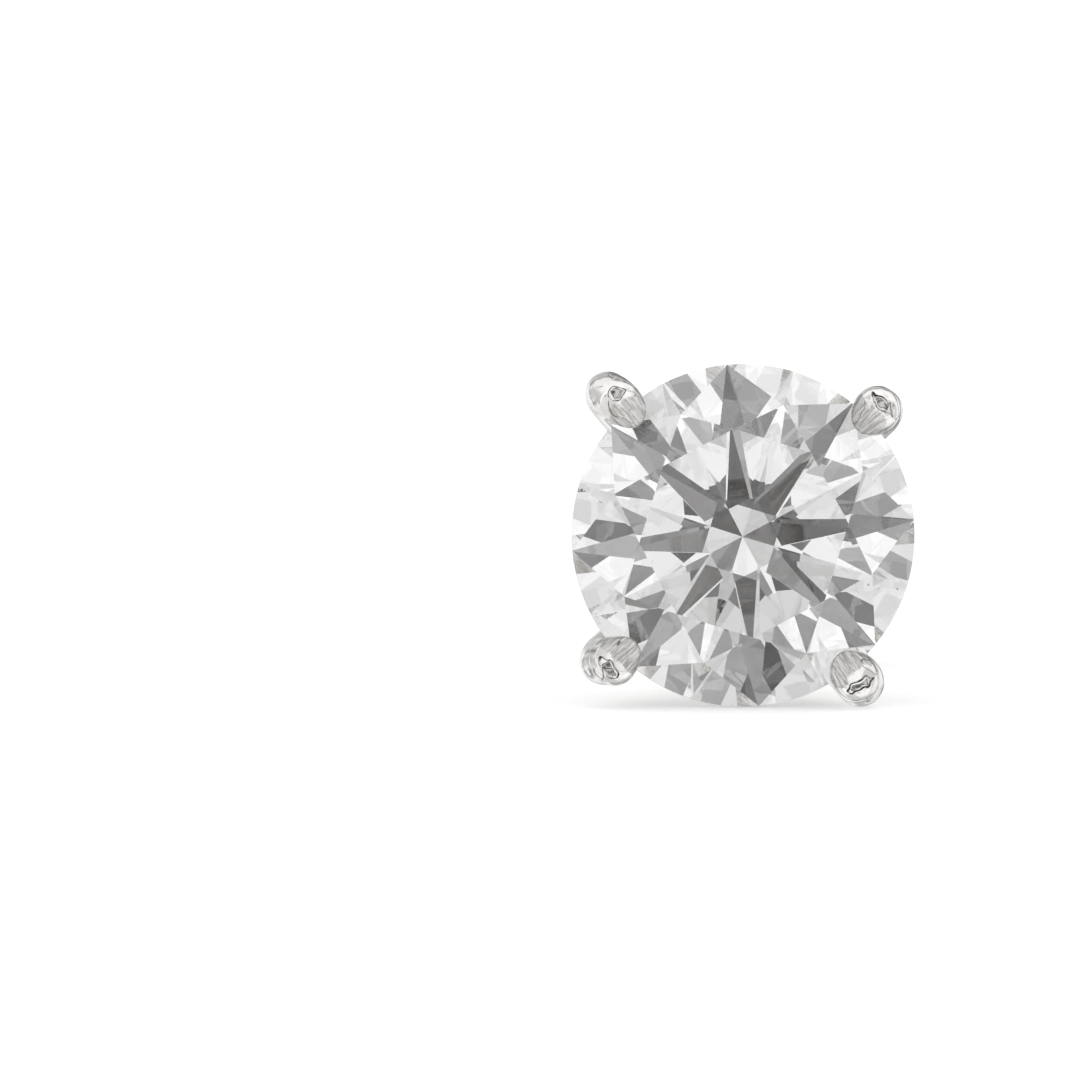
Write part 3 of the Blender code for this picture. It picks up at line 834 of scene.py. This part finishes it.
def world(axes):
    """A white tent round the stud, with a dark round hole for the lens, and a few cards."""
    scene = bpy.context.scene
    scene.world = bpy.data.worlds.new("white tent")
    scene.world.use_nodes = True
    tree = scene.world.node_tree
    tree.nodes.clear()
    direction = add_node(tree, "ShaderNodeTexCoord").outputs["Generated"]

    def toward(turn, off):
        turn, off = math.radians(turn), math.radians(off)
        return axes @ Vector((math.sin(off) * math.cos(turn), math.sin(off) * math.sin(turn), math.cos(off)))

    def disc(middle, radius, soft, inside, outside=0.0):
        cosine = add_node(tree, "ShaderNodeVectorMath", {"operation": "DOT_PRODUCT"}, {0: direction, 1: middle})
        return add_node(tree, "ShaderNodeMapRange", {"interpolation_type": "SMOOTHSTEP"}, {
            "Value": cosine.outputs["Value"], "From Min": math.cos(math.radians(radius + soft)),
            "From Max": math.cos(math.radians(radius - soft)), "To Min": outside, "To Max": inside,
        }).outputs["Result"]

    def plus(first, second):
        return add_node(tree, "ShaderNodeVectorMath", links={0: first, 1: second}).outputs[0]

    sight = toward(0, 0)
    blotches = add_node(tree, "ShaderNodeTexNoise", links={"Vector": direction, "Scale": 9.0, "Detail": 2.0})
    glass = add_node(tree, "ShaderNodeMapRange", links={
        "Value": blotches.outputs["Fac"], "From Min": 0.45, "From Max": 0.66, "To Min": 0.01, "To Max": 0.26,
    }).outputs["Result"]
    glass = times(tree, glass, disc(sight, LENS_GLASS, 1.5, 1.0))
    hole = plus(disc(sight, LENS_HOLE, 1.5, -0.7), glass)

    folds = add_node(tree, "ShaderNodeTexNoise", links={"Vector": direction, "Scale": 3.5, "Detail": 2.0})
    shade = smooth_range(tree, folds.outputs["Fac"], 0.35, 0.65, 0.02, -0.02)
    stone_light = plus(plus(disc(sight, TENT_EDGE, 10, TENT_FRONT, TENT_BACK), hole), shade)
    for card in CARDS.values():
        amount = disc(toward(card["turn"], card["off"]), card["radius"], 2, card["level"])
        colour = linear(card["tint"])[:3]
        tinted = add_node(tree, "ShaderNodeVectorMath", {"operation": "MULTIPLY"}, {0: amount, 1: colour})
        stone_light = plus(stone_light, tinted.outputs[0])
    cloth = add_node(tree, "ShaderNodeTexNoise", links={"Vector": direction, "Scale": 1.6, "Detail": 3.0})
    fall = smooth_range(tree, cloth.outputs["Fac"], 0.42, 0.6, 0.1, -0.3)
    metal_light = plus(disc(sight, 110, 25, METAL_FRONT, METAL_BACK), fall)
    seam = times(tree, disc(sight, SEAM + 4, 4, 1.0), disc(sight, SEAM - 4, 4, 0.0, 1.0))
    metal_light = plus(metal_light, times(tree, seam, -0.4))
    parts = add_node(tree, "ShaderNodeSeparateXYZ", links={0: direction}).outputs
    turn = add_node(tree, "ShaderNodeMath", {"operation": "ARCTAN2"}, {0: parts["Y"], 1: parts["X"]}).outputs[0]
    phase = add_node(tree, "ShaderNodeMath", {"operation": "MULTIPLY_ADD"}, {0: turn, 1: 5.0, 2: 0.8}).outputs[0]
    wave = add_node(tree, "ShaderNodeMath", {"operation": "SINE"}, {0: phase}).outputs[0]
    behind = disc(sight, 148, 5, 0.0, 1.0)
    strips = times(tree, behind, smooth_range(tree, wave, 0.55, 0.8, 0.0, -0.35))
    metal_light = plus(metal_light, strips)
    table = times(tree, behind, smooth_range(tree, parts["Z"], -0.25, 0.0, -0.12, 0.0))
    metal_light = plus(metal_light, table)
    hand = add_node(tree, "ShaderNodeVectorMath", {"operation": "MULTIPLY"}, {
        0: disc(toward(208, 76), 9, 3, 1.0), 1: (-0.2, -0.3, -0.36),
    })
    metal_light = plus(metal_light, hand.outputs[0])
    speckle = add_node(tree, "ShaderNodeTexNoise", links={"Vector": direction, "Scale": 14.0, "Detail": 2.0})
    figure = smooth_range(tree, speckle.outputs["Fac"], 0.42, 0.6, 0.08, 0.68)
    figure = times(tree, figure, disc(sight, LENS_FIGURE, 1.5, 1.0))
    outside = disc(sight, LENS_HOLE, 1.5, 0.0, 1.0)
    metal_light = add_node(tree, "ShaderNodeVectorMath", {"operation": "MULTIPLY"}, {0: metal_light, 1: outside})
    metal_light = plus(metal_light.outputs[0], figure)

    path = add_node(tree, "ShaderNodeLightPath")
    level = add_node(tree, "ShaderNodeMix", {"data_type": "VECTOR"}, {
        "Factor": path.outputs["Is Singular Ray"], 4: metal_light, 5: stone_light,
    }).outputs[1]
    level = add_node(tree, "ShaderNodeVectorMath", {"operation": "MAXIMUM"}, {0: level, 1: (0.02,) * 3}).outputs[0]
    level = add_node(tree, "ShaderNodeVectorMath", {"operation": "MINIMUM"}, {0: level, 1: (1.1,) * 3}).outputs[0]
    seen = add_node(tree, "ShaderNodeBackground", links={"Color": (1, 1, 1, 1), "Strength": 1.2})
    light = add_node(tree, "ShaderNodeBackground", links={"Color": level, "Strength": 1.0})
    mixed = add_node(tree, "ShaderNodeMixShader", links={
        0: path.outputs["Is Camera Ray"], 1: light.outputs[0], 2: seen.outputs[0],
    })
    add_node(tree, "ShaderNodeOutputWorld", links={"Surface": mixed.outputs[0]})


def settings():
    scene = bpy.context.scene
    scene.view_settings.view_transform = "Standard"
    scene.cycles.max_bounces = 32
    scene.cycles.glossy_bounces = 24
    scene.cycles.transmission_bounces = 24


def main():
    axes = camera()
    world(axes)
    settings()
    floor()
    stone = frame["nodes"]["stone"]
    stone.data.materials.clear()
    stone.data.materials.append(clear_stone_material())
    setting_piece(claw_metal_material())
    back_piece(back_metal_material())


main()
